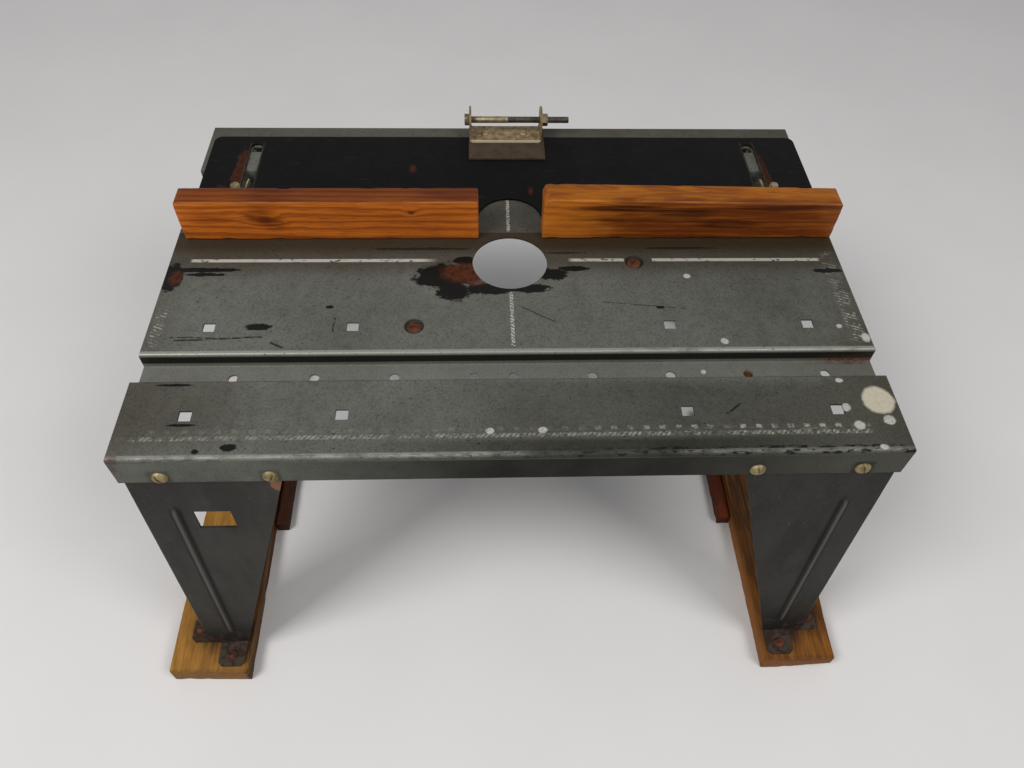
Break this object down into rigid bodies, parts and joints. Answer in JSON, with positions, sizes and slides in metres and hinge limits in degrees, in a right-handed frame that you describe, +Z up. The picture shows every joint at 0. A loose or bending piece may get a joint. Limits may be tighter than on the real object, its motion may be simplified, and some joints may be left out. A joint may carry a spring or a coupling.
{
  "type": "benchtop router and sabre saw table",
  "caption": "Benchtop table for a router or sabre saw: steel top with mitre channels, sliding two-board fence, splayed sheet legs and flat wooden runners.",
  "frame": {"origin": "on the floor, under the middle of the table's top and of the two runners' footprint", "axes": "+X along the table's length to the right, +Y from the front to the fence side at the back, +Z up"},
  "size_m": [0.524, 0.38, 0.3003],
  "materials": {
    "top_paint": "worn satin grey enamel with rust",
    "leg_paint": "dark grey satin enamel",
    "fence_paint": "black satin paint",
    "yellow_zinc": "tarnished yellow zinc plate",
    "rusty_steel": "rusty",
    "runner_wood": "bare aged softwood",
    "cleat_wood": "dark stained softwood",
    "red_pine": "oiled",
    "golden_wood": "oiled"
  },
  "bodies": {
    "table": {"table_top": "top_paint", "front_left_leg": "leg_paint", "front_right_leg": "leg_paint", "rear_left_leg": "leg_paint", "rear_right_leg": "leg_paint", "left_runner": "runner_wood", "right_runner": "runner_wood", "left_cleat": "cleat_wood", "right_cleat": "cleat_wood", "cleat_nails": "rusty_steel", "apron_screws": "yellow_zinc", "apron_nuts": "yellow_zinc", "foot_tab_screws": "rusty_steel", "router_screws": "rusty_steel", "fence_bolts": "yellow_zinc", "fence_washers": "yellow_zinc"},
    "fence": {"fence_plate": "fence_paint", "left_fence_board": "red_pine", "right_fence_board": "golden_wood", "fence_board_screws": "yellow_zinc", "guard_plate": "rusty_steel", "guard_bracket": "yellow_zinc", "guard_rivets": "yellow_zinc"},
    "left_wing_nut": {"left_wing_nut": "yellow_zinc"},
    "right_wing_nut": {"right_wing_nut": "yellow_zinc"},
    "guard_pin": {"guard_hinge_bolt": "yellow_zinc", "guard_hinge_nut": "yellow_zinc"}
  },
  "joints": [
    {"name": "fence_slide", "type": "slide", "parent": "table", "child": "fence", "axis": [0, 1, 0], "range_m": [-0.07, 0.0015]},
    {"name": "left_wing_nut_turn", "type": "hinge", "parent": "table", "child": "left_wing_nut", "pos_m": [-0.1905, 0.058, 0.275], "axis": [0, 0, 1], "continuous": true},
    {"name": "right_wing_nut_turn", "type": "hinge", "parent": "table", "child": "right_wing_nut", "pos_m": [0.1905, 0.058, 0.275], "axis": [0, 0, 1], "continuous": true},
    {"name": "guard_pin_turn", "type": "hinge", "parent": "fence", "child": "guard_pin", "pos_m": [0.0005, 0.1415, 0.2825], "axis": [1, 0, 0], "continuous": true}
  ]
}
